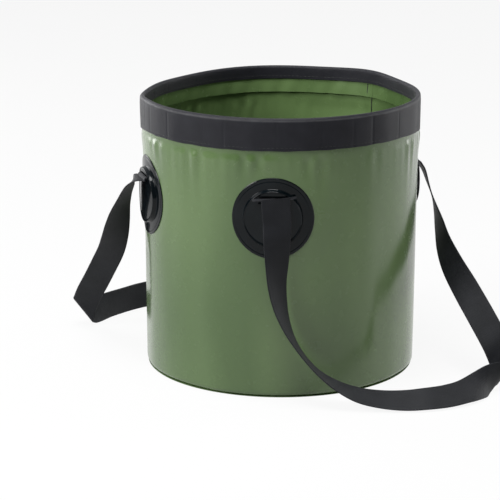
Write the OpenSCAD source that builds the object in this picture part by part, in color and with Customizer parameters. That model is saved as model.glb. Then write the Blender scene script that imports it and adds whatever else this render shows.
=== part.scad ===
// Soft collapsible carrying bucket with two webbing shoulder straps.
// Millimetres, +Z up, origin at the centre of the underside, front patch towards -Y.

/* [Bucket] */
// Outside diameter of the wall at the mouth
mouth_d = 300; // [260:1:360]
// Outside diameter of the wall at the base
base_d = 294; // [250:1:360]
// Height from the underside to the top of the binding
bag_h = 300; // [260:1:380]
// Thickness of the coated fabric
sheet_t = 0.6; // [0.4:0.1:1.2]
// Width of the hem that the wall turns in over the base
hem_w = 12; // [8:1:25]
// Width of the vertical lap where the wall's two ends are welded
lap_w = 20; // [12:1:30]
// Compass angle of the vertical lap, from the front patch towards the right
lap_at = 142; // [135:1:155]

/* [Mouth] */
// How far the inner facing reaches below the rim
facing_drop = 30; // [20:1:60]
// Height of the springy hoop inside the rim
hoop_h = 12; // [6:1:20]
// Thickness of the springy hoop
hoop_t = 1.2; // [0.8:0.1:2]
// How far the binding tape reaches down outside
tape_outside = 34; // [24:1:45]
// How far the binding tape reaches down inside
tape_inside = 15; // [13:1:28]
// Thickness of the binding tape
tape_t = 1; // [0.6:0.1:1.6]
// Height of the line of binding stitches above the tape's lower edge
stitch_up = 3; // [2:0.5:6]

/* [Patches] */
// Height of the patch centres above the underside
patch_z = 195; // [150:1:210]
// Diameter of each round patch
patch_d = 86; // [80:1:110]
// Diameter of the raised middle of each patch
dome_d = 61; // [56:1:70]
// Height of the hollow under the raised middle, above the wall
hollow_h = 3.8; // [3.6:0.1:5]
// Width of the strap slot
slot_w = 36; // [34:1:40]
// Height of the strap slot
slot_h = 6; // [5:0.5:8]
// How far the middle of the slot lies above the patch centre
slot_up = 21; // [18:0.5:22]
// Diameter of the disc that each strap end is sewn to
disc_d = 56; // [46:1:58]
// Thickness of the patch and of the disc
patch_t = 0.8; // [0.5:0.1:1]
// Angle between the two patches of one strap
strap_spread = 110; // [100:1:120]

/* [Straps] */
// Width of the webbing
strap_w = 30; // [25:1:32]
// Thickness of the webbing
strap_t = 1.4; // [1:0.1:2]
// Size of the sewn square that holds each strap end
sewn_w = 22; // [16:1:24]
// Thickness of the sewing thread
thread_t = 0.3; // [0.2:0.05:0.4]

/* [Hidden] */
$fn = 96;

gap = 0.2;           // clearance between pieces that lie on each other
loop_gap = 1;        // clearance between a fixed strap end and its loose loop
eps = 0.01;

green = [0.36, 0.47, 0.28];
dark_green = [0.25, 0.34, 0.2];
black = [0.09, 0.09, 0.1];
webbing = [0.13, 0.13, 0.14];
thread = [0.3, 0.3, 0.32];

front_at = 0;
right_at = strap_spread;
back_at = 180;
left_at = 180 + strap_spread;

base_r = base_d / 2;
mouth_r = mouth_d / 2;
base_t = sheet_t + gap;                       // the wall stands this far above the underside
wall_top = bag_h - tape_t - gap;
hoop_out = sheet_t + gap;                     // depths below the wall's outer face
facing_out = hoop_out + hoop_t + gap;
tape_in_out = facing_out + sheet_t + gap;
disc_top = gap + patch_t;                     // heights above the wall's outer face
flange_top = gap + patch_t;
dome_top = hollow_h + patch_t;
strap_mid = disc_top + gap + strap_t / 2;
slot_z = patch_z + slot_up;

// Radius of the wall's outer face at height z
function wall_r(z) = base_r + (mouth_r - base_r) * z / bag_h;

// A point at compass angle a, height z and height up above the wall's outer face
function on_wall(a, z, up) = [sin(a) * (wall_r(z) + up), -cos(a) * (wall_r(z) + up), z];

// Each strap lies on the floor in a hand-laid route. A row holds a point of the
// centreline, then the direction across the strap towards its right-hand edge.
right_route = [
    [3, -156, 217, 0.97, 0.15, 0.1], [4, -157, 205, 0.97, 0.2, 0.1], [5, -158, 191, 0.95, 0.25, 0.05],
    [5, -160, 177, 0.9, 0.35, 0], [5, -160, 163, 0.85, 0.5, -0.05], [5, -160, 147, 0.75, 0.65, -0.05],
    [5, -161, 130, 0.6, 0.75, -0.1], [7, -162, 112, 0.5, 0.85, -0.15], [11, -163, 95, 0.35, 0.9, -0.15],
    [17, -164, 79, 0.2, 0.95, -0.15], [25, -165, 64, 0.1, 0.95, -0.2], [36, -167, 49, 0.05, 0.95, -0.2],
    [50, -169, 35, 0.05, 1, -0.15], [68, -171, 23, 0.1, 1, 0], [90, -173, 14, 0.1, 0.95, 0.2],
    [114, -174, 10, 0, 0.95, 0.35], [139, -173, 9, -0.05, 0.9, 0.45], [162, -169, 10, -0.2, 0.85, 0.5],
    [183, -159, 10, -0.3, 0.8, 0.5], [202, -145, 11, -0.4, 0.7, 0.5], [218, -128, 13, -0.3, 0.5, 0.7],
    [231, -113, 16, 0.1, 0.2, 0.95], [242, -103, 17, 0.5, 0.1, 0.85], [247, -96, 18, 0.6, 0.1, 0.8],
    [244, -91, 24, 0.65, 0.1, 0.75], [240, -88, 35, 0.7, 0.1, 0.7], [233, -84, 49, 0.75, 0.1, 0.65],
    [219, -69, 71, 0.8, 0.05, 0.6], [204, -50, 93, 0.8, -0.1, 0.6], [189, -28, 115, 0.7, -0.45, 0.55],
    [179, -8, 134, 0.45, -0.6, 0.65], [174, 9, 151, 0.25, -0.75, 0.6], [170, 24, 165, 0.05, -0.85, 0.5],
    [166, 36, 178, -0.05, -0.92, 0.35], [161, 45, 191, 0.05, -0.97, 0.2], [156, 51, 204, 0.15, -0.98, 0.15],
    [148, 54, 214, 0.34, -0.94, 0]];
left_route = [
    [-3, 156, 217, -0.97, -0.15, 0.1], [-4, 157, 205, -0.97, -0.2, 0.1], [-5, 158, 191, -0.95, -0.25, 0.05],
    [-5, 160, 177, -0.9, -0.35, 0], [-5, 160, 163, -0.85, -0.5, -0.05], [-6, 161, 147, -0.75, -0.65, -0.05],
    [-7, 163, 130, -0.6, -0.75, -0.1], [-9, 165, 112, -0.5, -0.85, -0.15],
    [-13, 168, 95, -0.35, -0.9, -0.15], [-19, 172, 79, -0.2, -0.95, -0.15],
    [-27, 176, 64, -0.1, -0.95, -0.2], [-38, 180, 49, -0.05, -0.95, -0.25],
    [-52, 185, 35, -0.05, -0.95, -0.3], [-70, 190, 25, 0, -0.9, -0.45], [-91, 194, 19, 0, -0.8, -0.6],
    [-114, 196, 16, 0, -0.6, -0.8], [-137, 194, 16, 0.05, -0.4, -0.9], [-159, 186, 16, 0.05, -0.2, -1],
    [-178, 170, 16, 0.05, -0.15, -1], [-194, 150, 16, 0.05, -0.1, -1], [-208, 131, 16, 0.15, -0.1, -0.95],
    [-221, 113, 15, 0.4, -0.1, -0.9], [-230, 103, 16, 0.6, -0.1, -0.8], [-233, 96, 20, 0.65, -0.1, -0.75],
    [-230, 92, 30, 0.75, 0, -0.65], [-224, 84, 44, 0.85, 0, -0.5], [-214, 71, 63, 0.9, 0, -0.45],
    [-203, 56, 85, 0.9, 0, -0.45], [-192, 38, 108, 0.9, 0.15, -0.45], [-185, 21, 129, 0.9, 0.35, -0.2],
    [-180, 5, 149, 0.8, 0.55, 0], [-175, -11, 168, 0.6, 0.8, 0.05], [-169, -26, 184, 0.4, 0.9, 0.05],
    [-163, -38, 197, 0.2, 0.95, -0.1], [-158, -47, 206, 0.05, 0.97, -0.15],
    [-153, -52, 213, -0.2, 0.97, -0.05], [-147, -54, 214, -0.34, 0.94, 0]];
fixed_rows = 4;      // rows at each end of a route that stay with the bag

// ---- small helpers ----

function unit(v) = v / norm(v);
function place(row) = [row[0], row[1], row[2]];
function across(row) = unit([row[3], row[4], row[5]]);

// Direction of travel at row i of a route
function heading(route, i) =
    unit(place(route[min(i + 1, len(route) - 1)]) - place(route[max(i - 1, 0)]));

// The four corners of the webbing at row i: its true width is kept where a row crosses it at a slant
function strap_ring(route, i) =
    let (c = place(route[i]), s = across(route[i]), t = heading(route, i), side = cross(s, t),
        half = s * strap_w / 2 / norm(side), face = unit(side) * strap_t / 2)
    [c - half - face, c + half - face, c + half + face, c - half + face];

// A closed strip through rings of four corners each. Both broad faces are split along the
// same diagonal, so that the strip keeps its thickness where it twists.
module strip(rings) {
    n = len(rings);
    corners = [for (ring = rings, p = ring) p];
    sides = [for (i = [0 : n - 2], k = [0 : 3])
        let (a = 4 * i + k, b = 4 * i + (k + 1) % 4)
        each (k == 2 ? [[a, a + 4, b], [b, a + 4, b + 4]] : [[a, a + 4, b + 4], [a, b + 4, b]])];
    ends = [[0, 1, 2], [0, 2, 3], [4 * n - 1, 4 * n - 2, 4 * n - 3], [4 * n - 1, 4 * n - 3, 4 * n - 4]];
    polyhedron(corners, concat(sides, ends));
}

// The ring that lies a short way from row i towards row j, so that two pieces do not touch there
function drawn_back(route, i, j) =
    let (shift = unit(place(route[j]) - place(route[i])) * loop_gap)
    [for (p = strap_ring(route, i)) p + shift];

// A skin that follows the wall between heights z0 and z1, from lo to hi above its outer face
module skin(z0, z1, lo, hi, start = 0, turn = 360) {
    rotate([0, 0, start])
        rotate_extrude(angle = turn)
            polygon([[wall_r(z0) + lo, z0], [wall_r(z0) + hi, z0], [wall_r(z1) + hi, z1], [wall_r(z1) + lo, z1]]);
}

// A radial bar through the wall at compass angle a and height z
module radial(a, z, d) {
    translate([0, 0, z])
        rotate([0, 0, a])
            rotate([90, 0, 0])
                cylinder(d = d, h = mouth_r + base_r);
}

// A round piece cut from a skin, d across, centred at compass angle a and the patch height
module round_skin(a, d, lo, hi) {
    spread = 2 * asin(d / (base_d * 0.9));
    intersection() {
        skin(patch_z - d, patch_z + min(d, bag_h - patch_z), lo, hi, a - 90 - spread / 2, spread);
        radial(a, patch_z, d);
    }
}

// ---- the bucket ----

module wall_sheet() color(green) {
    skin(base_t, wall_top, -sheet_t, 0);
    difference() {                                   // hem turned in over the base
        translate([0, 0, base_t]) cylinder(r = wall_r(base_t) - sheet_t / 2, h = sheet_t);
        translate([0, 0, base_t - 1]) cylinder(r = wall_r(base_t) - hem_w, h = sheet_t + 2);
    }
    lap_turn = lap_w / base_r * 180 / PI;
    skin(base_t, bag_h - tape_outside - 2 * gap, -sheet_t / 2, sheet_t, lap_at - 90 - lap_turn / 2, lap_turn);
}

module base_sheet() color(dark_green)
    cylinder(r = base_r, h = sheet_t);

module mouth_facing() color(green)
    skin(bag_h - facing_drop, wall_top, -facing_out - sheet_t, -facing_out);

module rim_hoop() color("gray")
    skin(wall_top - hoop_h, wall_top, -hoop_out - hoop_t, -hoop_out);

module rim_binding() color(black) {
    low_out = bag_h - tape_outside;
    low_in = bag_h - tape_inside;
    inner = -tape_in_out;
    rotate_extrude()
        polygon([[wall_r(low_out) + gap, low_out], [wall_r(low_out) + gap + tape_t, low_out],
            [wall_r(bag_h) + gap + tape_t, bag_h - tape_t / 2], [wall_r(bag_h) + gap + tape_t / 2, bag_h],
            [wall_r(bag_h) + inner - tape_t / 2, bag_h], [wall_r(bag_h) + inner - tape_t, bag_h - tape_t / 2],
            [wall_r(low_in) + inner - tape_t, low_in], [wall_r(low_in) + inner, low_in],
            [wall_r(bag_h) + inner, bag_h - tape_t], [wall_r(bag_h) + gap, bag_h - tape_t]]);
}

module binding_stitching() color(thread) {
    low_out = bag_h - tape_outside + stitch_up;
    low_in = bag_h - tape_inside + stitch_up;
    skin(low_out, low_out + 2 * thread_t, 2 * gap + tape_t, 2 * gap + tape_t + thread_t);
    skin(low_in, low_in + 2 * thread_t, -tape_in_out - tape_t - gap - thread_t, -tape_in_out - tape_t - gap);
}

// ---- the strap anchorages ----

// Outer cover: a flat rim welded to the wall and a raised middle with the slot
module patch(a) color(black)
    difference() {
        union() {
            round_skin(a, patch_d, gap, flange_top);
            round_skin(a, dome_d, gap + patch_t / 2, dome_top);
        }
        round_skin(a, dome_d - 2 * patch_t, -1, hollow_h);
        rotate([0, 0, a])
            translate([-slot_w / 2, -mouth_r - base_r, slot_z - slot_h / 2])
                cube([slot_w, mouth_r + base_r, slot_h]);
    }

// Disc welded to the wall under the cover
module anchor_disc(a) color(dark_green)
    round_skin(a, disc_d, gap, disc_top);

// The corners of a sewn strap end, up above the wall, with the face that looks to the wall's
// outside turned towards face_to: [outwards, upwards]. side is 1 where the route starts, -1 where it ends.
function end_ring(a, z, up, face_to, side) =
    let (c = on_wall(a, z, up), half = side * [cos(a), sin(a), 0] * strap_w / 2,
        face = unit(face_to[0] * [sin(a), -cos(a), 0] + face_to[1] * [0, 0, 1]) * strap_t / 2)
    [c - half - face, c + half - face, c + half + face, c - half + face];

// Webbing sewn to the disc, out over the slot's lower lip and down along the route's fixed rows
module strap_end(a, route, rows, side) color(webbing) {
    inside = [
        end_ring(a, patch_z - sewn_w / 2 - 6, strap_mid, [1, 0], side),
        end_ring(a, slot_z - 3, strap_mid, [1, 0], side),
        end_ring(a, slot_z - 0.5, (strap_mid + dome_top) / 2, [0.6, -0.8], side),
        end_ring(a, slot_z + 0.8, dome_top + 0.4, [-0.2, -1], side)];
    rings = concat(inside, [for (i = rows) strap_ring(route, i)]);
    strip([for (ring = rings) side > 0 ? ring : [ring[1], ring[0], ring[3], ring[2]]]);
}

// Square of stitches with a cross, on the outer face of the strap end
module strap_stitching(a) color(thread)
    rotate([0, 0, a])
        translate([0, -wall_r(patch_z) - strap_mid - strap_t / 2 - gap - thread_t, patch_z - 4]) {
            difference() {
                translate([-sewn_w / 2, 0, -sewn_w / 2]) cube([sewn_w, thread_t, sewn_w]);
                translate([-sewn_w / 2 + 1, -1, -sewn_w / 2 + 1]) cube([sewn_w - 2, thread_t + 2, sewn_w - 2]);
            }
            for (turn = [45, -45])
                rotate([0, turn, 0])
                    translate([-sewn_w * 0.68, 0, -0.5]) cube([sewn_w * 1.36, thread_t, 1]);
        }

// ---- the loose straps ----

module strap_loop(route) color(webbing) {
    first = fixed_rows - 1;
    last = len(route) - fixed_rows;
    strip(concat(
        [drawn_back(route, first, first + 1)],
        [for (i = [first + 1 : last - 1]) strap_ring(route, i)],
        [drawn_back(route, last, last - 1)]));
}

head_rows = [for (i = [0 : fixed_rows - 1]) i];
tail_rows = [for (i = [1 : fixed_rows]) len(right_route) - i];

wall_sheet();
base_sheet();
mouth_facing();
rim_hoop();
rim_binding();
binding_stitching();
patch(front_at);  // front_patch
patch(right_at);  // right_patch
patch(back_at);  // back_patch
patch(left_at);  // left_patch
anchor_disc(front_at);  // front_anchor_disc
anchor_disc(right_at);  // right_anchor_disc
anchor_disc(back_at);  // back_anchor_disc
anchor_disc(left_at);  // left_anchor_disc
strap_end(front_at, right_route, head_rows, 1);  // front_strap_end
strap_end(right_at, right_route, tail_rows, -1);  // right_strap_end
strap_end(back_at, left_route, head_rows, 1);  // back_strap_end
strap_end(left_at, left_route, tail_rows, -1);  // left_strap_end
strap_stitching(front_at);  // front_strap_stitching
strap_stitching(right_at);  // right_strap_stitching
strap_stitching(back_at);  // back_strap_stitching
strap_stitching(left_at);  // left_strap_stitching
strap_loop(right_route);  // right_strap_loop
strap_loop(left_route);  // left_strap_loop
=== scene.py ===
import bpy
import numpy as np
from mathutils import Matrix


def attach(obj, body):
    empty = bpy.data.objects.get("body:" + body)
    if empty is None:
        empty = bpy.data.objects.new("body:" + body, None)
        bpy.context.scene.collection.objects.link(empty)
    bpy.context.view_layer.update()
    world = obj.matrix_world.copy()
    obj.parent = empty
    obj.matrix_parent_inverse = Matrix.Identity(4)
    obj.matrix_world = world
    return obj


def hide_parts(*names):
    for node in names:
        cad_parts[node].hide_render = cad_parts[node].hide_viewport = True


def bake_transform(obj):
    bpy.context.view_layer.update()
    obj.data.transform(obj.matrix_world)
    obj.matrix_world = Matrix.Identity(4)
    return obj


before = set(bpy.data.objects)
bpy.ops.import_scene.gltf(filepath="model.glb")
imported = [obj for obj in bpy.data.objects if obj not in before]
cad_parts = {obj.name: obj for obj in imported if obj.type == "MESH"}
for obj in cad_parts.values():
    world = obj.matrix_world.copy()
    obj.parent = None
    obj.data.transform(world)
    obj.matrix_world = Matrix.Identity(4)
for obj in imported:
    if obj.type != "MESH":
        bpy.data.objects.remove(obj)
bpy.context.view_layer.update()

mm = 0.001
turn = 2 * np.pi
print("frame loaded")


# the camera stands a little to the right of the front and looks down at the bag
camera = {
    "compass": 2.9,        # degrees round from the front towards the right
    "distance": 2.398,     # level distance from the bag's axis
    "height": 0.768,
    "yaw": -0.79,          # degrees, turns the view off the axis
    "pitch": 15.09,        # degrees down
    "lens": 162.4,
    "sensor": 36.0,
    "farthest": 60,        # nothing beyond this distance is drawn
}


def standing(side, up, back, place):
    # the matrix whose columns are three axes and a place
    return Matrix(np.vstack([np.column_stack([side, up, back, place]), [0, 0, 0, 1]]).tolist())


def makeCamera(values):
    compass, yaw, pitch = (np.radians(values[key]) for key in ("compass", "yaw", "pitch"))
    level = np.array([-np.sin(compass - yaw), np.cos(compass - yaw), 0])
    forward = level * np.cos(pitch) + np.array([0, 0, -np.sin(pitch)])
    right = np.array([level[1], -level[0], 0])
    up = np.cross(right, forward)
    data = bpy.data.cameras.new("camera")
    data.lens = values["lens"]
    data.sensor_width = values["sensor"]
    data.clip_end = values["farthest"]
    made = bpy.data.objects.new("camera", data)
    bpy.context.scene.collection.objects.link(made)
    place = (values["distance"] * np.sin(compass), -values["distance"] * np.cos(compass), values["height"])
    made.matrix_world = standing(right, up, -forward, place)
    bpy.context.scene.camera = made


makeCamera(camera)
print("camera placed")


# helpers that turn arrays of points into closed pieces
def gridQuads(rows, columns, closeRows=False, closeColumns=False):
    # one quad between each four neighbouring points, wrapped round where a direction is closed
    i = np.arange(rows if closeRows else rows - 1)[:, None]
    j = np.arange(columns if closeColumns else columns - 1)[None, :]
    iNext, jNext = (i + 1) % rows, (j + 1) % columns
    corners = [i * columns + j, i * columns + jNext, iNext * columns + jNext, iNext * columns + j]
    return np.stack(np.broadcast_arrays(*corners), axis=-1).reshape(-1, 4)


def signedVolume(points, quads):
    # a sixth of the sum of corner triple products over both triangles of each quad
    a, b, c, d = (points[quads[:, k]] for k in range(4))
    return (np.cross(a, b) * c).sum() + (np.cross(a, c) * d).sum()


def makePiece(name, points, quads, caps=(), uv=None, sharp=40):
    # points (n, 3), quads (m, 4), caps are longer faces, uv (n, 2) is in metres along the piece's own surface
    if signedVolume(points, quads) < 0:
        quads = quads[:, ::-1]
        caps = [list(cap)[::-1] for cap in caps]
    mesh = bpy.data.meshes.new(name)
    mesh.from_pydata(points.tolist(), [], quads.tolist() + [list(cap) for cap in caps])
    if uv is not None:
        layer = mesh.uv_layers.new(name="surface")
        corner = np.empty(len(mesh.loops), dtype=np.int32)
        mesh.loops.foreach_get("vertex_index", corner)
        layer.data.foreach_set("uv", uv[corner].astype(np.float32).ravel())
    mesh.polygons.foreach_set("use_smooth", [True] * len(mesh.polygons))
    mesh.set_sharp_from_angle(angle=np.radians(sharp))
    mesh.update()
    made = bpy.data.objects.new(name, mesh)
    bpy.context.scene.collection.objects.link(made)
    return made


def surfaceUv(along, across):
    # for each point, its two distances over the piece's own surface
    return np.stack(np.broadcast_arrays(along, across), axis=-1).reshape(-1, 2)


def closedTube(name, points, uv):
    # rings of points along a line, each ring closed and the two ends capped
    rings, columns = points.shape[:2]
    caps = [np.arange(columns)[::-1], np.arange(columns) + (rings - 1) * columns]
    quads = gridQuads(rings, columns, closeColumns=True)[:, ::-1]
    return makePiece(name, points.reshape(-1, 3), quads, caps, uv)


def smoothPath(rows, step):
    # a Catmull-Rom curve through the rows, cut again at an even spacing along the line
    rows = np.asarray(rows, float)
    ends = np.vstack([2 * rows[:1] - rows[1:2], rows, 2 * rows[-1:] - rows[-2:-1]])
    t = np.linspace(0, 1, 24, endpoint=False)[None, :, None]
    p0, p1, p2, p3 = ends[:-3, None], ends[1:-2, None], ends[2:-1, None], ends[3:, None]
    fine = 0.5 * (2 * p1 + (p2 - p0) * t + (2 * p0 - 5 * p1 + 4 * p2 - p3) * t ** 2
                  + (3 * p1 - p0 - 3 * p2 + p3) * t ** 3)
    fine = np.vstack([fine.reshape(-1, rows.shape[1]), rows[-1:]])
    along = np.concatenate([[0], np.cumsum(np.linalg.norm(np.diff(fine[:, :3], axis=0), axis=1))])
    even = np.linspace(0, along[-1], int(along[-1] / step) + 1)
    return np.stack([np.interp(even, along, fine[:, k]) for k in range(rows.shape[1])], axis=1), even


def apartFrom(angle, place):
    # how far each angle is past a place round the bag, from minus half a turn to half a turn
    return (angle - place + np.pi) % turn - np.pi


def bell(angle, degrees, spread):
    # 1 at a place round the bag, falling off as a bell curve of the given spread in degrees
    return np.exp(-(apartFrom(angle, np.radians(degrees)) / np.radians(spread)) ** 2)


def unitRows(vectors):
    return vectors / np.linalg.norm(vectors, axis=-1, keepdims=True)


def smoothStep(value, low, high):
    # 0 below low, 1 above high, and an S curve between
    t = np.clip((value - low) / (high - low), 0, 1)
    return t * t * (3 - 2 * t)


# the webbing of both straps: each runs from a patch down to the floor and up to the next patch
strap = {
    "width": 30 * mm,
    "thick": 1.4 * mm,
    "step": 1.4 * mm,       # distance between rings
    "ribs": 7,              # low ribs across the webbing
    "ribDepth": 0.05,       # as a share of the thickness
    "selvedge": 0.12,       # how much the two edges are thicker
    "across": 31,           # points across each face
}

# a row is a point of the centreline in mm, then the direction across towards the right-hand edge
rightRoute = [
    [3, -156, 217, 0.97, 0.15, 0.1], [4, -157, 205, 0.97, 0.2, 0.1], [5, -158, 191, 0.95, 0.25, 0.05],
    [5, -160, 177, 0.9, 0.35, 0], [5, -160, 163, 0.85, 0.5, -0.05], [5, -160, 147, 0.75, 0.65, -0.05],
    [5, -161, 130, 0.6, 0.75, -0.1], [7, -162, 112, 0.5, 0.85, -0.15], [11, -163, 95, 0.35, 0.9, -0.15],
    [17, -164, 79, 0.2, 0.95, -0.15], [25, -165, 64, 0.1, 0.95, -0.2], [36, -167, 49, 0.05, 0.95, -0.2],
    [50, -169, 35, 0.05, 1, -0.15], [68, -171, 23, 0.1, 1, 0], [90, -173, 14, 0.1, 0.95, 0.2],
    [114, -174, 10, 0, 0.95, 0.35], [139, -173, 9, -0.05, 0.9, 0.45], [162, -169, 10, -0.2, 0.85, 0.5],
    [183, -159, 10, -0.3, 0.8, 0.5], [202, -145, 11, -0.4, 0.7, 0.5], [218, -128, 13, -0.3, 0.5, 0.7],
    [231, -113, 16, 0.1, 0.2, 0.95], [242, -103, 17, 0.5, 0.1, 0.85], [247, -96, 18, 0.6, 0.1, 0.8],
    [244, -91, 24, 0.65, 0.1, 0.75], [240, -88, 35, 0.7, 0.1, 0.7], [233, -84, 49, 0.75, 0.1, 0.65],
    [219, -69, 71, 0.8, 0.05, 0.6], [204, -50, 93, 0.8, -0.1, 0.6], [189, -28, 115, 0.7, -0.45, 0.55],
    [179, -8, 134, 0.45, -0.6, 0.65], [174, 9, 151, 0.25, -0.75, 0.6], [170, 24, 165, 0.05, -0.85, 0.5],
    [166, 36, 178, -0.05, -0.92, 0.35], [161, 45, 191, 0.05, -0.97, 0.2], [156, 51, 204, 0.15, -0.98, 0.15],
    [148, 54, 214, 0.34, -0.94, 0]]
leftRoute = [
    [-3, 156, 217, -0.97, -0.15, 0.1], [-4, 157, 205, -0.97, -0.2, 0.1], [-5, 158, 191, -0.95, -0.25, 0.05],
    [-5, 160, 177, -0.9, -0.35, 0], [-5, 160, 163, -0.85, -0.5, -0.05], [-6, 161, 147, -0.75, -0.65, -0.05],
    [-7, 163, 130, -0.6, -0.75, -0.1], [-9, 165, 112, -0.5, -0.85, -0.15],
    [-13, 168, 95, -0.35, -0.9, -0.15], [-19, 172, 79, -0.2, -0.95, -0.15],
    [-27, 176, 64, -0.1, -0.95, -0.2], [-38, 180, 49, -0.05, -0.95, -0.25],
    [-52, 185, 35, -0.05, -0.95, -0.3], [-70, 190, 25, 0, -0.9, -0.45], [-91, 194, 19, 0, -0.8, -0.6],
    [-114, 196, 16, 0, -0.6, -0.8], [-137, 194, 16, 0.05, -0.4, -0.9], [-159, 186, 16, 0.05, -0.2, -1],
    [-178, 170, 16, 0.05, -0.15, -1], [-194, 150, 16, 0.05, -0.1, -1], [-208, 131, 16, 0.15, -0.1, -0.95],
    [-221, 113, 15, 0.4, -0.1, -0.9], [-230, 103, 16, 0.6, -0.1, -0.8], [-233, 96, 20, 0.65, -0.1, -0.75],
    [-230, 92, 30, 0.75, 0, -0.65], [-224, 84, 44, 0.85, 0, -0.5], [-214, 71, 63, 0.9, 0, -0.45],
    [-203, 56, 85, 0.9, 0, -0.45], [-192, 38, 108, 0.9, 0.15, -0.45], [-185, 21, 129, 0.9, 0.35, -0.2],
    [-180, 5, 149, 0.8, 0.55, 0], [-175, -11, 168, 0.6, 0.8, 0.05], [-169, -26, 184, 0.4, 0.9, 0.05],
    [-163, -38, 197, 0.2, 0.95, -0.1], [-158, -47, 206, 0.05, 0.97, -0.15],
    [-153, -52, 213, -0.2, 0.97, -0.05], [-147, -54, 214, -0.34, 0.94, 0]]


def webbing(name, rows):
    # carries the webbing's section along the line: the section is flat, with low ribs and thicker edges,
    # and keeps its true width where a row crosses the line at a slant
    line, along = smoothPath(np.asarray(rows, float) * [mm, mm, mm, 1, 1, 1], strap["step"])
    centre, across = line[:, :3], unitRows(line[:, 3:])
    heading = unitRows(np.gradient(centre, axis=0))
    side = np.cross(across, heading)
    width = np.linalg.norm(side, axis=1, keepdims=True)
    half, face = across / width * strap["width"] / 2, side / width * strap["thick"] / 2
    v = np.sin(np.linspace(-np.pi / 2, np.pi / 2, strap["across"]))
    crown = np.sqrt(np.clip(1 - np.abs(v) ** 24, 0, 1))
    crown = crown * (1 + strap["ribDepth"] * np.cos(turn * strap["ribs"] * v / 2)
                     + strap["selvedge"] * smoothStep(np.abs(v), 0.86, 0.95))
    v = np.concatenate([v, v[-2:0:-1]])
    n = np.concatenate([crown, -crown[-2:0:-1]])
    points = centre[:, None] + v[None, :, None] * half[:, None] + n[None, :, None] * face[:, None]
    uv = surfaceUv(along[:, None], v[None, :] * strap["width"] / 2)
    return closedTube(name, points, uv), centre, along[-1]


def looseStrap(name, rows, nodes):
    piece, centre, length = webbing(name, rows)
    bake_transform(piece)
    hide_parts(*nodes)
    print(name, "is", round(length, 3), "m long")
    return piece


rightStrap = looseStrap("rightShoulderStrap", rightRoute, ["right_strap_loop"])
leftStrap = looseStrap("leftShoulderStrap", leftRoute, ["left_strap_loop"])
print("straps laid")


# the bucket's skin, with sizes shared by everything that lies on the wall
bucket = {
    "baseRadius": 147 * mm,
    "mouthRadius": 150 * mm,
    "height": 300 * mm,
    "sheet": 0.6 * mm,
    "gap": 0.2 * mm,
    "hem": 12 * mm,
    "cornerRadius": 5 * mm,     # soft turn of the wall into its hem
    "around": 740,              # points round the wall
    "wallTop": 298.8 * mm,
    "hemUnder": 0.8 * mm,       # height of the hem's underside
    "closeRows": (236 * mm, 266 * mm),      # the wall's rows stand closer between these heights
    "lapAngle": 142,            # degrees from the front towards the right
    "lapWidth": 20 * mm,
    # slow waves round the wall: (count, phase, mm, lean with height)
    "folds": [(4, 0.5, 0.6, 1), (7, 2.1, 0.55, -1.5), (11, 4.0, 0.36, 2), (17, 1.2, 0.2, -1.5),
              (26, 5.1, 0.08, 2)],
    # short waves just below the binding: (count, phase, mm)
    "puckers": [(43, 0.4, 0.55), (57, 2.2, 0.5), (71, 4.4, 0.35)],
    "puckerReach": 11 * mm,
    "tapeEdge": 264 * mm,       # height where the binding takes hold of the wall
    "bulge": 1.1,               # mm that the sheet swells out just below the binding
    # the soft rim is not a true circle: (degrees, spread in degrees, mm outwards, mm upwards)
    "rimBends": [(143, 15, 5.5, 1.2), (118, 16, -2.5, 0), (236, 24, -5.5, -1.6), (268, 14, 1.6, -4.0),
                 (190, 20, 1.0, 0.3)],
    "bendStart": 215 * mm,
}

patchAngles = {"front": 0, "right": 110, "back": 180, "left": 290}

patch = {
    "height": 195 * mm,         # of the centre above the underside
    "radius": 43 * mm,
    "flange": 1.0 * mm,         # heights above the wall
    "dome": 4.6 * mm,
    "domeRadius": 30.5 * mm,
    "thick": 0.8 * mm,
    "crown": 0.3 * mm,          # how much the middle rises towards its centre
    "bead": 0.5 * mm,
    "groove": 0.2 * mm,
    "grooveRadius": 39.5 * mm,
    "slotLip": 0.4 * mm,        # how far the surface dips at the slot's edge
    "rimFall": 0.55 * mm,
    "slotUp": 21 * mm,
    "slotWide": 31 * mm,
    "slotHigh": 5.6 * mm,
    "plateau": 28.6 * mm,       # radius inside which the middle is smooth
    "around": 260,
    "inside": 26,               # rings from the slot to the plateau's edge
    "outside": 62,              # rings from there to the rim
    "heldFlat": (42 * mm, 70 * mm),     # the sheet lies flat within the first and free beyond the second
}


def wallRadius(height):
    return bucket["baseRadius"] + (bucket["mouthRadius"] - bucket["baseRadius"]) * height / bucket["height"]


def wallSag(angle, height):
    # a few slow waves round the bag, each leaning a little with height, strongest at mid height,
    # short puckers below the binding, and nothing where a stiff patch holds the sheet flat
    level = height / bucket["height"]
    swell = np.clip(np.sin(np.pi * np.clip(level * 1.1, 0, 1)), 0, 1) ** 0.7 + 0.25 * (1 - level)
    sag = sum(amount * np.cos(count * angle + phase + lean * level)
              for count, phase, amount, lean in bucket["folds"]) * swell - 0.5 * swell
    edge = bucket["tapeEdge"] - height
    below = np.clip(edge, 0, None) / bucket["puckerReach"]
    pucker = sum(amount * np.cos(count * angle + phase) for count, phase, amount in bucket["puckers"])
    bulge = bucket["bulge"] * (0.55 - 0.45 * np.cos(2 * angle - 1.2))
    pucker = pucker * (0.6 + 0.4 * np.cos(3 * angle + 1)) + bulge
    sag = sag + pucker * below * np.exp(1 - below)
    sag = sag * smoothStep(edge, 0, 10 * mm)
    for degrees in patchAngles.values():
        beside = apartFrom(angle, np.radians(degrees)) * bucket["baseRadius"]
        distance = np.hypot(beside, height - patch["height"])
        sag = sag * smoothStep(distance, *patch["heldFlat"])
    return sag * mm


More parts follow.
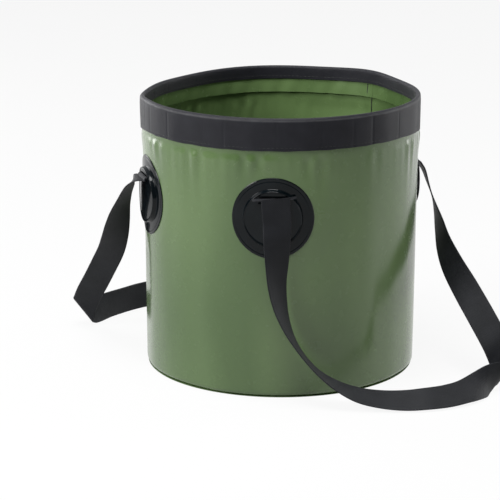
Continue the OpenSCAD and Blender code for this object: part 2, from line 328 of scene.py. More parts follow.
def rimBend(angle, height):
    # a sum of bell curves round the rim, fading out down the wall: how far outwards and how far up
    fade = smoothStep(height, bucket["bendStart"], bucket["height"])
    bells = [(bell(angle, degrees, spread), out, rise) for degrees, spread, out, rise in bucket["rimBends"]]
    outwards = sum(share * out for share, out, rise in bells) * fade * mm
    upwards = sum(share * rise for share, out, rise in bells) * fade * mm
    return outwards, upwards


def onWall(angle, height, up):
    # a point at a compass angle and height, up above the wall's outer face
    angle, height, up = np.broadcast_arrays(angle, height, up)
    outwards, upwards = rimBend(angle, height)
    radius = wallRadius(height) + wallSag(angle, height) + outwards + up
    return np.stack([np.sin(angle) * radius, -np.cos(angle) * radius, height + upwards], axis=-1)


def closedBand(name, points, profile, angles, sharp):
    # a closed profile at each angle round the bag, made into a piece
    rows, columns = points.shape[:2]
    along = np.concatenate([[0], np.cumsum(np.linalg.norm(np.diff(profile, axis=0), axis=1))])
    uv = surfaceUv(angles[:, None] * bucket["mouthRadius"], along[None, :])
    quads = gridQuads(rows, columns, closeRows=True, closeColumns=True)
    return makePiece(name, points.reshape(-1, 3), quads, uv=uv, sharp=sharp)


def carriedRound(name, profile, count, up=None, sharp=40):
    # carries a closed profile of (up, height) pairs round the bag, up may vary with the angle
    angles = np.linspace(0, turn, count, endpoint=False)
    profile = np.asarray(profile, float)
    lift = 0 if up is None else up(angles[:, None], profile[None, :, 1])
    points = onWall(angles[:, None], profile[None, :, 1], profile[None, :, 0] + lift)
    return closedBand(name, points, profile, angles, sharp)


def makeWall():
    # the profile goes up the outer face, over the top, down the inner face, and in and back along the hem
    sheet, corner, bottom = bucket["sheet"], bucket["cornerRadius"], bucket["hemUnder"]
    closeLow, closeHigh = bucket["closeRows"]
    arc = np.linspace(0, np.pi / 2, 9)
    heights = np.concatenate([np.linspace(bottom + corner, closeLow, 50, endpoint=False),
                              np.linspace(closeLow, closeHigh, 24, endpoint=False),
                              np.linspace(closeHigh, bucket["wallTop"], 8)])
    outer = [(-corner + corner * np.sin(t), bottom + corner - corner * np.cos(t)) for t in arc[:-1]]
    outer += [(0, h) for h in heights]
    inner = [(-sheet, h) for h in heights[::-3]]
    tight = corner - sheet
    inner += [(-corner + tight * np.cos(t), bottom + corner - tight * np.sin(t)) for t in arc]
    inner += [(-bucket["hem"], bottom + sheet), (-bucket["hem"], bottom)]
    return carriedRound("bucketWall", outer + inner, bucket["around"], sharp=60)


def makeLap(name, low, high, centre, width, upLow, upHigh):
    # a thin raised strip up the wall: a closed shell, its two long edges rounded off
    half = width / 2 / bucket["baseRadius"]
    heights = np.linspace(low, high, 90)
    v = np.sin(np.linspace(-np.pi / 2, np.pi / 2, 21))
    crown = np.sqrt(np.clip(1 - np.abs(v) ** 30, 0, 1))
    up = np.concatenate([upLow + (upHigh - upLow) * crown, np.full(len(v) - 2, upLow)])
    v = np.concatenate([v, v[-2:0:-1]])
    wander = 0.25 * mm / bucket["baseRadius"] * np.sin(heights * 70)[:, None]
    angle = np.radians(centre) + half * v[None, :] + wander
    points = onWall(angle, heights[:, None], up[None, :])
    return closedTube(name, points, surfaceUv(angle * bucket["baseRadius"], heights[:, None]))


wall = makeWall()
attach(wall, "bag")
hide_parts("wall_sheet")

# name: low and high edge, centre in degrees, width, and the two heights above the wall's outer face
laps = {
    "outerLap": (4 * mm, 265.5 * mm, bucket["lapAngle"], bucket["lapWidth"], 0, 0.6 * mm),
    "innerLap": (8 * mm, 272 * mm, bucket["lapAngle"], 9 * mm, -0.6 * mm, -1.0 * mm),
    "facingLap": (270.5 * mm, 286 * mm, 140.6, 7 * mm, -2.8 * mm, -3.25 * mm),
}
# dark threads along the laps' edges: partly rows of stitches, partly painted shade standing in for the shadow
# in the gap of the lap
seamThreadsAndShade = {
    "facingSeamThreadAndShade": (270.2 * mm, 287 * mm, 142.2, 0.9 * mm, -2.8 * mm, -3.5 * mm),
    "wallSeamThreadAndShade": (10 * mm, 275 * mm, 140.2, 0.7 * mm, -0.9 * mm, -1.4 * mm),
}


def makeLaps(table):
    made = [makeLap(name, *sizes) for name, sizes in table.items()]
    for piece in made:
        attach(piece, "bag")
    return made


lapPieces = makeLaps(laps)
seamThreadAndShadePieces = makeLaps(seamThreadsAndShade)
print("wall made")


base = {
    "radius": 145.5 * mm,
    "thick": 0.6 * mm,
    "ripple": 0.35 * mm,
    "rings": 46,
    "around": 180,
}


def makeBase():
    # a round sheet with a flat underside: its upper face ripples, and its edge is rounded
    share = np.linspace(0.02, 1, base["rings"])
    angle = np.linspace(0, turn, base["around"], endpoint=False)
    x, y = np.sin(angle)[:, None] * share * base["radius"], -np.cos(angle)[:, None] * share * base["radius"]
    ripple = base["ripple"] * (np.sin(x * 61 + 2 * np.cos(y * 33)) * np.cos(y * 47) + 1) / 2
    ripple = ripple * smoothStep(0.9 - share, 0, 0.2)[None, :]
    top = np.stack([x, y, base["thick"] + ripple], axis=-1)
    edge = np.stack([np.sin(angle), -np.cos(angle)], axis=-1) * (base["radius"] + 0.4 * mm)
    edge = np.concatenate([edge, np.full((base["around"], 1), base["thick"] / 2)], axis=1)[:, None]
    bottom = np.stack([x, y, np.zeros_like(x)], axis=-1)[:, ::-1]
    points = np.concatenate([top, edge, bottom], axis=1)
    rows, columns = points.shape[:2]
    caps = [np.arange(rows)[::-1] * columns, np.arange(rows) * columns + columns - 1]
    uv = points[..., :2].reshape(-1, 2)
    return makePiece("bucketBase", points.reshape(-1, 3), gridQuads(rows, columns, closeRows=True), caps, uv)


bottomSheet = makeBase()
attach(bottomSheet, "bag")
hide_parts("base_sheet")
print("base made")


# the mouth: facing, hoop, binding and its stitches
mouth = {
    "facingDrop": 30 * mm,
    "facingUp": (-2.8 * mm, -2.2 * mm),
    "facingHeld": 290 * mm,     # the facing lies still above this height
    "facingEase": 18 * mm,      # and is loosest from this far below it
    "tape": 1.0 * mm,
    "tapeInUp": -3.0 * mm,      # where the inner leg of the tape lies, from the wall's outer face
    "tapeTurn": 3.0 * mm,       # height of the round turn over the rim
    "tapeSwell": 0.35 * mm,
    "tapeOutside": 34 * mm,
    "tapeInside": 15 * mm,
    "around": 1080,
    "creases": 24,          # pressed creases round the tape
    "creaseDepth": 0.45 * mm,
    "droops": [(92, 20, 5.0), (266, 20, 4.0)],      # where the tape hangs lower: (degrees, spread, mm)
    "seed": 7,
}


def makeFacing():
    # a thin band inside the rim whose lower edge waves a little up and down
    low, high = mouth["facingUp"]
    heights = np.linspace(bucket["height"] - mouth["facingDrop"], bucket["wallTop"], 16)
    edge = 0.25 * mm
    profile = [(low, h) for h in heights[::-1]] + [((low + high) / 2, heights[0] - edge)]
    profile += [(high, h) for h in heights]

    def pucker(angle, height):
        lower = smoothStep(mouth["facingHeld"] - height, 0, mouth["facingEase"])
        waves = (0.35 * np.cos(31 * angle + 1) + 0.25 * np.cos(47 * angle + 3 + 60 * height)
                 + 0.3 * np.cos(13 * angle))
        return (waves - 0.5) * lower * mm

    return carriedRound("mouthFacing", profile, 720, pucker)


def creaseDepth(angle, rng):
    # narrow dips at uneven places, with the tape standing a little proud between them
    count = mouth["creases"]
    places = (np.arange(count) + rng.uniform(-0.35, 0.35, count)) / count * turn
    depths = rng.uniform(0.3, 1, count)
    widths = rng.uniform(0.006, 0.014, count)
    apart = apartFrom(angle[..., None], places)
    return (depths * np.exp(-(apart / widths) ** 2)).sum(-1)


def makeBinding():
    # a tape folded over the rim: down outside, over the top in a round turn, and down inside
    tape, gap = mouth["tape"], bucket["gap"]
    outUp, inUp = gap, mouth["tapeInUp"]
    lowOut, lowIn = bucket["height"] - mouth["tapeOutside"], bucket["height"] - mouth["tapeInside"]
    top = bucket["height"]
    middle, halfOuter, halfInner = (outUp + inUp) / 2, (outUp - inUp) / 2 + tape, (outUp - inUp) / 2
    rise, lipTurn = mouth["tapeTurn"], 0.3 * mm
    arc = np.linspace(0, np.pi, 15)[1:-1]
    outside = [(outUp + tape, h) for h in np.linspace(lowOut + lipTurn, top - rise, 22)]
    over = [(middle + halfOuter * np.cos(t), top - rise + rise * np.sin(t)) for t in arc]
    inside = [(inUp - tape, h) for h in np.linspace(top - rise, lowIn + lipTurn, 12)]
    innerTurn = [(inUp - tape / 2, lowIn)]
    back = [(inUp, h) for h in np.linspace(lowIn + lipTurn, top - rise, 6)]
    under = [(middle - halfInner * np.cos(t), top - rise + (rise - tape) * np.sin(t)) for t in arc]
    front = [(outUp, h) for h in np.linspace(top - rise, lowOut + lipTurn, 10)]
    lip = [(outUp + tape / 2, lowOut)]
    profile = np.array(outside + over + inside + innerTurn + back + under + front + lip)
    angles = np.linspace(0, turn, mouth["around"], endpoint=False)
    rng = np.random.default_rng(mouth["seed"])
    crease = creaseDepth(angles, rng)
    swell = mouth["tapeSwell"] * (0.6 * np.cos(19 * angles + 2) + 0.4 * np.cos(31 * angles + 5))
    fold = (swell - mouth["creaseDepth"] * crease)[:, None]
    heights = profile[None, :, 1]
    outer = (profile[None, :, 0] > outUp + tape * 0.6) | (profile[None, :, 0] < inUp - tape * 0.6)
    outwards = np.where(profile[None, :, 0] > middle, 1, -1)
    reach = np.where(profile[None, :, 0] > middle, smoothStep(top - heights, 0, 9 * mm),
                     smoothStep(top - heights, 0, 6 * mm) * 0.6)
    lift = np.where(outer, (fold + mouth["tapeSwell"]) * outwards * reach * 0.8, 0)
    wave = 0.16 * mm * np.cos(23 * angles + 1)[:, None] + 0.12 * mm * np.cos(41 * angles)[:, None]
    droop = sum(bell(angles, degrees, spread) * drop for degrees, spread, drop in mouth["droops"])
    wave = wave - droop[:, None] * mm
    low = 1 - smoothStep(heights - lowOut, 0, 12 * mm)
    z = heights + wave * np.where(profile[None, :, 0] > middle, low, 0)
    points = onWall(angles[:, None], z, profile[None, :, 0] + lift)
    return closedBand("rimTape", points, profile, angles, sharp=50)


stitch = {
    "length": 3.4 * mm,
    "pitch": 4.6 * mm,
    "thick": 0.45 * mm,
    "sides": 6,
    "sink": 0.12 * mm,      # how far the two ends dip into the tape
    "wander": 0.12 * mm,    # how far a row strays up and down
    # height, distance from the wall's outer face, and 1 on the outside or -1 on the inside
    "rows": [(269.3 * mm, 1.45 * mm, 1), (288.3 * mm, -4.2 * mm, -1)],
}


def makeStitches(name, rowsOf):
    # short rounded threads, each dipping into the tape at both ends, in rows of (height, up, outwards)
    u = np.linspace(-1, 1, 6)
    ring = np.linspace(0, turn, stitch["sides"], endpoint=False)
    fat = np.sqrt(np.clip(1 - np.abs(u) ** 3, 0.04, 1))
    allPoints, allQuads, allCaps, start = [], [], [], 0
    for height, up, outwards in rowsOf:
        count = int(turn * (bucket["mouthRadius"] + up) / stitch["pitch"])
        centres = np.arange(count) / count * turn
        angle = centres[:, None, None] + u[None, :, None] * stitch["length"] / 2 / bucket["mouthRadius"]
        sink = -stitch["sink"] * np.abs(u[None, :, None]) ** 2
        radial = outwards * (sink + stitch["thick"] / 2 * fat[None, :, None] * np.cos(ring)[None, None, :])
        z = height + stitch["thick"] / 2 * fat[None, :, None] * np.sin(ring)[None, None, :]
        z = z + stitch["wander"] * np.sin(centres * 37)[:, None, None]
        points = onWall(angle, z, up + radial)
        per = len(u) * len(ring)
        quads = gridQuads(len(u), len(ring), closeColumns=True)
        offsets = start + np.arange(count)[:, None, None] * per
        allPoints.append(points.reshape(-1, 3))
        allQuads.append((quads[None] + offsets).reshape(-1, 4)[:, ::int(outwards)])
        ends = np.stack([np.arange(len(ring))[::-1], np.arange(len(ring)) + per - len(ring)])
        allCaps.append((ends[None] + offsets).reshape(-1, len(ring))[:, ::int(outwards)])
        start += per * count
    caps = [row for block in allCaps for row in block.tolist()]
    return makePiece(name, np.vstack(allPoints), np.vstack(allQuads), caps)


strip = {
    "outer": -0.8 * mm,     # height of its outer face above the wall's outer face
    "thick": 1.2 * mm,
    "high": 12 * mm,
    "around": 720,
}


def makeHoop():
    # a flat springy strip between the wall and the facing, its edges rounded
    half, top = strip["thick"] / 2, bucket["wallTop"]
    middle, low = strip["outer"] - half, top - strip["high"]
    arc = np.linspace(0, np.pi, 7)
    profile = [(middle + half * np.cos(t), top - half + half * np.sin(t)) for t in arc]
    profile += [(middle - half * np.cos(t), low + half - half * np.sin(t)) for t in arc]
    return carriedRound("rimHoop", profile, strip["around"], sharp=60)


hoop = makeHoop()
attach(hoop, "bag")
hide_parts("rim_hoop")
facing = makeFacing()
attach(facing, "bag")
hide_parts("mouth_facing")
binding = makeBinding()
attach(binding, "bag")
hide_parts("rim_binding")
bindingThread = makeStitches("bindingThread", stitch["rows"])
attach(bindingThread, "bag")
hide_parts("binding_stitching")
print("mouth bound")


def patchHeight(x, y):
    # a flat flange, a smooth step up to a gently crowned middle, a rounded bead along the step,
    # a shallow weld groove near the rim and a soft lip round the slot
    radius = np.hypot(x, y)
    flange, dome, step = patch["flange"], patch["dome"], patch["domeRadius"]
    rise = 1 - smoothStep(radius, step - 1.2 * mm, step + 1.0 * mm)
    height = flange + (dome - flange) * rise + patch["crown"] * rise * (1 - (radius / step) ** 2)
    height = height + patch["bead"] * np.exp(-((radius - step + 1.3 * mm) / (0.55 * mm)) ** 2)
    height = height - patch["groove"] * np.exp(-((radius - patch["grooveRadius"]) / (0.5 * mm)) ** 2)
    beside = np.maximum(np.abs(x) - patch["slotWide"] / 2 + 2 * mm, 0)
    above = np.maximum(np.abs(y - patch["slotUp"]) - patch["slotHigh"] / 2, 0)
    height = height - patch["slotLip"] * np.exp(-(np.hypot(beside, above) / (1.0 * mm)) ** 2)
    return height - patch["rimFall"] * smoothStep(radius, patch["radius"] - 0.8 * mm, patch["radius"])


def makePatch(name, degrees):
    # rings grow from the slot's outline to a circle at the plateau's edge, then stay circles out to the rim,
    # on the front and back again on the rear, and the two are closed together at the slot and at the rim
    theta = np.linspace(0, turn, patch["around"], endpoint=False)[:, None]
    slotUp, inner = patch["slotUp"], patch["plateau"]
    slotX = patch["slotWide"] / 2 * np.sign(np.cos(theta)) * np.abs(np.cos(theta)) ** 0.45
    slotY = slotUp + patch["slotHigh"] / 2 * np.sign(np.sin(theta)) * np.abs(np.sin(theta)) ** 0.6
    reach = -slotUp * np.sin(theta) + np.sqrt(inner ** 2 - (slotUp * np.cos(theta)) ** 2)
    circleX, circleY = reach * np.cos(theta), slotUp + reach * np.sin(theta)
    v = np.linspace(0, 1, patch["inside"], endpoint=False)[None, :]
    grow = np.linspace(1, patch["radius"] / inner, patch["outside"])[None, :]
    x = np.concatenate([slotX + (circleX - slotX) * v, circleX * grow], axis=1)
    y = np.concatenate([slotY + (circleY - slotY) * v, circleY * grow], axis=1)
    rear = np.r_[x.shape[1] - 1:-1:-2]
    top = patchHeight(x, y)
    under = np.maximum(top[:, rear] - patch["thick"], bucket["gap"])
    x, y = np.concatenate([x, x[:, rear]], axis=1), np.concatenate([y, y[:, rear]], axis=1)
    up = np.concatenate([top, np.minimum(under, top[:, rear] - 0.2 * mm)], axis=1)
    height = patch["height"] + y
    angle = np.radians(degrees) + x / wallRadius(height)
    points = onWall(angle, height, up)
    rows, columns = points.shape[:2]
    quads = gridQuads(rows, columns, closeRows=True, closeColumns=True)
    return makePiece(name, points.reshape(-1, 3), quads, uv=surfaceUv(x, y), sharp=60)


# the hidden part of a sewn end, in mm: height, and how far above the wall's outer face
sewnEnd = [(178, 1.9), (190, 1.9), (203, 1.9), (211, 2.1), (214.6, 3.1), (216.6, 4.6)]


def makeStrapEnd(name, degrees, rows, side):
    # the sewn end: up the disc behind the patch, and out over the slot's lower lip to the loose strap
    angle = np.radians(degrees)
    out = np.array([np.sin(angle), -np.cos(angle), 0])
    across = side * np.array([np.cos(angle), np.sin(angle), 0])
    hidden = [[*(out * (wallRadius(z * mm) / mm + up))[:2], z, *across] for z, up in sewnEnd]
    return webbing(name, hidden + rows)[0]


patches, strapEnds = {}, {}
endRows = {"front": (rightRoute[:1], 1), "right": (rightRoute[:-2:-1], -1),
           "back": (leftRoute[:1], 1), "left": (leftRoute[:-2:-1], -1)}
for place, degrees in patchAngles.items():
    patches[place] = makePatch(place + "StrapPatch", degrees)
    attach(patches[place], "bag")
    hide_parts(place + "_patch")
    rows, side = endRows[place]
    strapEnds[place] = makeStrapEnd(place + "SewnEnd", degrees, rows, side)
    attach(strapEnds[place], "bag")
    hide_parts(place + "_strap_end")
print("patches made")


def newMaterial(name):
    made = bpy.data.materials.new(name)
    made.use_nodes = True
    nodes, links = made.node_tree.nodes, made.node_tree.links
    return made, nodes, links, nodes["Principled BSDF"]


def noise(nodes, links, coordinate, scale, detail=3.0):
    made = nodes.new("ShaderNodeTexNoise")
    made.inputs["Scale"].default_value = scale
    made.inputs["Detail"].default_value = detail
    links.new(coordinate, made.inputs["Vector"])
    return made.outputs["Fac"]


def ramp(nodes, links, value, stops):
    made = nodes.new("ShaderNodeValToRGB")
    elements = made.color_ramp.elements
    for element, (place, colour) in zip(elements, stops[:1] + stops[-1:]):
        element.position, element.color = place, (*colour, 1)
    for place, colour in stops[1:-1]:
        elements.new(place).color = (*colour, 1)
    links.new(value, made.inputs["Fac"])
    return made.outputs["Color"]


def toRange(nodes, links, value, low, high, source=(0, 1)):
    made = nodes.new("ShaderNodeMapRange")
    for socket, number in zip(("From Min", "From Max", "To Min", "To Max"), (*source, low, high)):
        made.inputs[socket].default_value = number
    links.new(value, made.inputs["Value"])
    return made.outputs["Result"]


def arithmetic(nodes, links, operation, first, second=None):
    made = nodes.new("ShaderNodeMath")
    made.operation = operation
    for socket, value in zip(made.inputs, (first, second)):
        if value is None:
            continue
        if isinstance(value, (int, float)):
            socket.default_value = value
        else:
            links.new(value, socket)
    return made.outputs["Value"]


def addBump(nodes, links, shader, height, strength, distance, normal=None):
    made = nodes.new("ShaderNodeBump")
    made.inputs["Strength"].default_value = strength
    made.inputs["Distance"].default_value = distance
    links.new(height, made.inputs["Height"])
    if normal is not None:
        links.new(normal, made.inputs["Normal"])
    links.new(made.outputs["Normal"], shader.inputs["Normal"])
    return made.outputs["Normal"]


def wavesOf(nodes, links, vector, axis, period):
    # sin(2 pi x / period) of one coordinate
    parts = nodes.new("ShaderNodeSeparateXYZ")
    links.new(vector, parts.inputs["Vector"])
    scaled = arithmetic(nodes, links, "MULTIPLY", parts.outputs[axis], turn / period)
    return arithmetic(nodes, links, "SINE", scaled)


finish = {
    "tarpaulin": {"dark": (0.056, 0.098, 0.032), "light": (0.090, 0.145, 0.053), "rough": (0.20, 0.32),
                  "specular": 0.3, "coat": 0.5, "coatRough": 0.2, "scrim": 1.5 * mm},
    "vinyl": {"dark": (0.0012, 0.0024, 0.0032), "light": (0.003, 0.005, 0.0064), "rough": (0.14, 0.24),
              "specular": 0.05, "coat": 0.28, "coatRough": 0.06},
    "tape": {"dark": (0.005, 0.005, 0.0072), "light": (0.016, 0.0165, 0.021), "rough": (0.42, 0.60),
             "specular": 0.18, "along": 1.3 * mm, "across": 0.9 * mm},
    "webbing": {"dark": (0.0045, 0.005, 0.006), "light": (0.0145, 0.0155, 0.0185), "rough": (0.48, 0.66),
                "specular": 0.16, "along": 2.4 * mm, "across": 1.9 * mm},
    "thread": {"dark": (0.010, 0.011, 0.011), "light": (0.028, 0.03, 0.03), "rough": (0.45, 0.6),
               "specular": 0.3},
    "strip": {"dark": (0.20, 0.20, 0.20), "light": (0.28, 0.28, 0.28), "rough": (0.35, 0.5), "specular": 0.5},
    # a painted highlight makes the fold of the binding paler, between these distances up its outer face
    "foldHighlight": {"from": 29.5 * mm, "to": 32.5 * mm, "colour": (0.10, 0.10, 0.105)},
}


def tarpaulin():
    values = finish["tarpaulin"]
    made, nodes, links, shader = newMaterial("greenTarpaulin")
    place = nodes.new("ShaderNodeTexCoord")
    tall = nodes.new("ShaderNodeMapping")       # draws the colour's patches out up the wall
    tall.inputs["Scale"].default_value = (1, 1, 0.35)
    links.new(place.outputs["Object"], tall.inputs["Vector"])
    broad = noise(nodes, links, tall.outputs["Vector"], 11, 1.5)
    colour = ramp(nodes, links, broad, [(0.36, values["dark"]), (0.64, values["light"])])
    links.new(colour, shader.inputs["Base Color"])
    scuff = noise(nodes, links, place.outputs["Object"], 90, 5)
    links.new(toRange(nodes, links, scuff, *values["rough"]), shader.inputs["Roughness"])
    warp = wavesOf(nodes, links, place.outputs["UV"], "X", values["scrim"])
    weft = wavesOf(nodes, links, place.outputs["UV"], "Y", values["scrim"])
    scrim = arithmetic(nodes, links, "MAXIMUM", warp, weft)
    normal = addBump(nodes, links, shader, scrim, 0.03, 0.05 * mm)
    ripple = noise(nodes, links, place.outputs["Object"], 17, 0.4)
    addBump(nodes, links, shader, ripple, 0.16, 2 * mm, normal)
    shader.inputs["Specular IOR Level"].default_value = values["specular"]
    shader.inputs["Coat Weight"].default_value = values["coat"]
    shader.inputs["Coat Roughness"].default_value = values["coatRough"]
    return made


def vinyl():
    values = finish["vinyl"]
    made, nodes, links, shader = newMaterial("patchVinyl")
    place = nodes.new("ShaderNodeTexCoord")
    broad = noise(nodes, links, place.outputs["Object"], 40, 3)
    colour = ramp(nodes, links, broad, [(0.35, values["dark"]), (0.7, values["light"])])
    links.new(colour, shader.inputs["Base Color"])
    grain = noise(nodes, links, place.outputs["Object"], 900, 2)
    links.new(toRange(nodes, links, grain, *values["rough"]), shader.inputs["Roughness"])
    addBump(nodes, links, shader, grain, 0.12, 0.06 * mm)
    shader.inputs["Specular IOR Level"].default_value = values["specular"]
    shader.inputs["Coat Weight"].default_value = values["coat"]
    shader.inputs["Coat Roughness"].default_value = values["coatRough"]
    return made


def paintFoldHighlight(nodes, links, vector, colour, grain):
    # mixes a paler colour in along the fold as a painted highlight, fading evenly to both sides and broken up
    # by the grain
    foldHighlight = finish["foldHighlight"]
    parts = nodes.new("ShaderNodeSeparateXYZ")
    links.new(vector, parts.inputs["Vector"])
    centre, half = (foldHighlight["from"] + foldHighlight["to"]) / 2, (foldHighlight["to"] - foldHighlight["from"]) / 2
    apart = arithmetic(nodes, links, "SUBTRACT", parts.outputs["Y"], centre)
    apart = arithmetic(nodes, links, "ABSOLUTE", apart)
    near = toRange(nodes, links, apart, 1.0, 0.0, (0, half))
    share = arithmetic(nodes, links, "MULTIPLY", near, toRange(nodes, links, grain, 0.0, 0.8))
    mix = nodes.new("ShaderNodeMixRGB")
    mix.inputs["Color2"].default_value = (*foldHighlight["colour"], 1)
    links.new(share, mix.inputs["Fac"])
    links.new(colour, mix.inputs["Color1"])
    return mix.outputs["Color"]


def woven(name, key, relief, foldHighlight=False):
    # a woven band: two crossing sine waves make the raised yarns, and slow noise varies their colour
    values = finish[key]
    made, nodes, links, shader = newMaterial(name)
    place = nodes.new("ShaderNodeTexCoord")
    along = wavesOf(nodes, links, place.outputs["UV"], "X", values["along"])
    across = wavesOf(nodes, links, place.outputs["UV"], "Y", values["across"])
    yarns = arithmetic(nodes, links, "MULTIPLY", along, across)
    level = toRange(nodes, links, yarns, 0.0, 1.0, (-1, 1))
    slow = noise(nodes, links, place.outputs["Object"], 60, 4)
    fibre = noise(nodes, links, place.outputs["Object"], 1500, 2)
    tone = arithmetic(nodes, links, "MULTIPLY", level, 0.35)
    tone = arithmetic(nodes, links, "ADD", tone, arithmetic(nodes, links, "MULTIPLY", slow, 0.5))
    tone = arithmetic(nodes, links, "ADD", tone, arithmetic(nodes, links, "MULTIPLY", fibre, 0.2))
    colour = ramp(nodes, links, tone, [(0.2, values["dark"]), (0.8, values["light"])])
    if foldHighlight:
        # paints a highlight along the tape's fold
        colour = paintFoldHighlight(nodes, links, place.outputs["UV"], colour, slow)
    links.new(colour, shader.inputs["Base Color"])
    links.new(toRange(nodes, links, fibre, *values["rough"]), shader.inputs["Roughness"])
    addBump(nodes, links, shader, level, relief, 0.25 * mm)
    shader.inputs["Specular IOR Level"].default_value = values["specular"]
    shader.inputs["Sheen Weight"].default_value = 0.03
    shader.inputs["Sheen Roughness"].default_value = 0.4
    return made


def plainGrain(name, key, scale):
    values = finish[key]
    made, nodes, links, shader = newMaterial(name)
    place = nodes.new("ShaderNodeTexCoord")
    grain = noise(nodes, links, place.outputs["Object"], scale, 3)
    colour = ramp(nodes, links, grain, [(0.3, values["dark"]), (0.7, values["light"])])
    links.new(colour, shader.inputs["Base Color"])
    links.new(toRange(nodes, links, grain, *values["rough"]), shader.inputs["Roughness"])
    addBump(nodes, links, shader, grain, 0.2, 0.1 * mm)
    shader.inputs["Specular IOR Level"].default_value = values["specular"]
    return made


def dress(piece, material):
    piece.data.materials.clear()
    piece.data.materials.append(material)


greenTarpaulin, patchVinyl = tarpaulin(), vinyl()
# the binding tape carries a painted highlight along its fold
bindingTape = woven("bindingTape", "tape", 0.35, foldHighlight=True)
strapWebbing = woven("strapWebbing", "webbing", 0.5)
sewingThread = plainGrain("sewingThread", "thread", 2500)
hoopStrip = plainGrain("hoopStrip", "strip", 300)

for piece in (wall, bottomSheet, facing, *lapPieces):
    dress(piece, greenTarpaulin)
for piece in patches.values():
    dress(piece, patchVinyl)
for piece in (rightStrap, leftStrap, *strapEnds.values()):
    dress(piece, strapWebbing)
dress(binding, bindingTape)
# the seam threads are partly painted shade along the laps' gaps
for piece in (bindingThread, *seamThreadAndShadePieces):
    dress(piece, sewingThread)
dress(hoop, hoopStrip)

cadFinish = {}
for place in patchAngles:
    cadFinish[place + "_anchor_disc"] = patchVinyl
    cadFinish[place + "_strap_stitching"] = sewingThread
for node, material in cadFinish.items():
    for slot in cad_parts[node].material_slots:
        slot.material = material
print("materials set")


# the floor, the lamps and the world
stage = {
    "floorSize": 8.0,
    "floorColour": (0.52, 0.52, 0.52),
    "floorClear": 0.90,         # how much of the plain white a camera sees through the floor's shading
    "ambient": 0.144,
    "roomFront": 0.08,          # brightness of the room before the bag, as a gloss sees it
    "roomBack": 0.8,
    "roomFade": (-0.5, 0.5),    # the Y of a direction where the room is dimmest, and where brightest
    "floorFront": 0.1,          # how much of the white shows in the floor before the bag, in a gloss
    "floorFade": (-0.5, -0.05),     # where the floor turns from dim to bright in a gloss, front to back
}


def makeFloor():
    half = stage["floorSize"] / 2
    points = np.array([[-half, -half, 0], [half, -half, 0], [half, half, 0], [-half, half, 0]], float)
    mesh = bpy.data.meshes.new("floor")
    mesh.from_pydata(points.tolist(), [], [[0, 1, 2, 3]])
    made = bpy.data.objects.new("floor", mesh)
    bpy.context.scene.collection.objects.link(made)
    material, nodes, links, shader = newMaterial("paleFloor")
    shader.inputs["Base Color"].default_value = (*stage["floorColour"], 1)
    shader.inputs["Roughness"].default_value = 0.9
    plain = nodes.new("ShaderNodeEmission")
    ray = nodes.new("ShaderNodeLightPath")
    mix = nodes.new("ShaderNodeMixShader")
    place, parts = nodes.new("ShaderNodeTexCoord"), nodes.new("ShaderNodeSeparateXYZ")
    links.new(place.outputs["Object"], parts.inputs["Vector"])
    sweep = toRange(nodes, links, parts.outputs["Y"], stage["floorFront"], 1.0, stage["floorFade"])
    gloss = arithmetic(nodes, links, "MULTIPLY", ray.outputs["Is Glossy Ray"], sweep)
    seen = arithmetic(nodes, links, "MAXIMUM", ray.outputs["Is Camera Ray"], gloss)
    share = arithmetic(nodes, links, "MULTIPLY", seen, stage["floorClear"])
    links.new(share, mix.inputs["Fac"])
    links.new(shader.outputs["BSDF"], mix.inputs[1])
    links.new(plain.outputs["Emission"], mix.inputs[2])
    links.new(mix.outputs["Shader"], nodes["Material Output"].inputs["Surface"])
    mesh.materials.append(material)


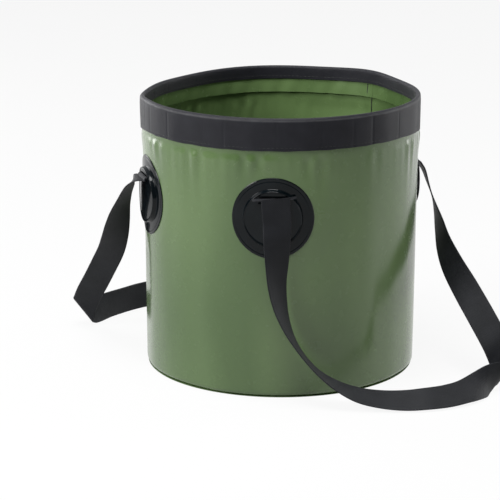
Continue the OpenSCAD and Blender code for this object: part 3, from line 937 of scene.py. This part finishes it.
def makeWorld():
    # a camera sees plain white, a gloss sees a white sweep behind the bag and a dim room before it
    world = bpy.data.worlds.new("studio")
    bpy.context.scene.world = world
    world.use_nodes = True
    nodes, links = world.node_tree.nodes, world.node_tree.links
    nodes.clear()
    ray, place = nodes.new("ShaderNodeLightPath"), nodes.new("ShaderNodeTexCoord")
    parts = nodes.new("ShaderNodeSeparateXYZ")
    links.new(place.outputs["Generated"], parts.inputs["Vector"])
    sweep = toRange(nodes, links, parts.outputs["Y"], stage["roomFront"], stage["roomBack"],
                    stage["roomFade"])
    plain, gloss, soft = (nodes.new("ShaderNodeBackground") for _ in range(3))
    for background in (plain, gloss, soft):
        background.inputs["Color"].default_value = (1, 1, 1, 1)
    links.new(sweep, gloss.inputs["Strength"])
    soft.inputs["Strength"].default_value = stage["ambient"]
    inner, outer, out = (nodes.new(kind) for kind in ("ShaderNodeMixShader", "ShaderNodeMixShader",
                                                      "ShaderNodeOutputWorld"))
    links.new(ray.outputs["Is Glossy Ray"], inner.inputs["Fac"])
    links.new(soft.outputs["Background"], inner.inputs[1])
    links.new(gloss.outputs["Background"], inner.inputs[2])
    seen = arithmetic(nodes, links, "MAXIMUM", ray.outputs["Is Camera Ray"],
                      ray.outputs["Is Transmission Ray"])
    links.new(seen, outer.inputs["Fac"])
    links.new(inner.outputs["Shader"], outer.inputs[1])
    links.new(plain.outputs["Background"], outer.inputs[2])
    links.new(outer.outputs["Shader"], out.inputs["Surface"])


lamps = {
    # name: place, what it points at, width, height, power
    "leftTop": ((-1.8, -1.1, 1.4), (0, 0, 0.2), 1.0, 1.0, 56),
    "backRight": ((1.9, 0.8, 0.5), (0.1, 0, 0.15), 1.2, 1.6, 26),
    "backLeft": ((-1.7, 1.2, 0.5), (-0.1, 0, 0.15), 1.0, 1.6, 24),
    "overhead": ((-0.1, -0.5, 2.1), (-0.05, 0.1, 0.2), 1.0, 1.0, 50),
}


def makeLamps():
    for name, (place, aim, width, height, power) in lamps.items():
        data = bpy.data.lights.new(name, "AREA")
        data.shape = "RECTANGLE"
        data.size, data.size_y, data.energy = width, height, power
        made = bpy.data.objects.new(name, data)
        bpy.context.scene.collection.objects.link(made)
        back = unitRows(np.array(place, float) - np.array(aim, float))
        side = unitRows(np.cross([0, 0, 1], back))
        up = np.cross(back, side)
        made.matrix_world = standing(side, up, back, place)


makeFloor()
makeWorld()
makeLamps()
bpy.context.scene.view_settings.view_transform = "Standard"
print("stage set")
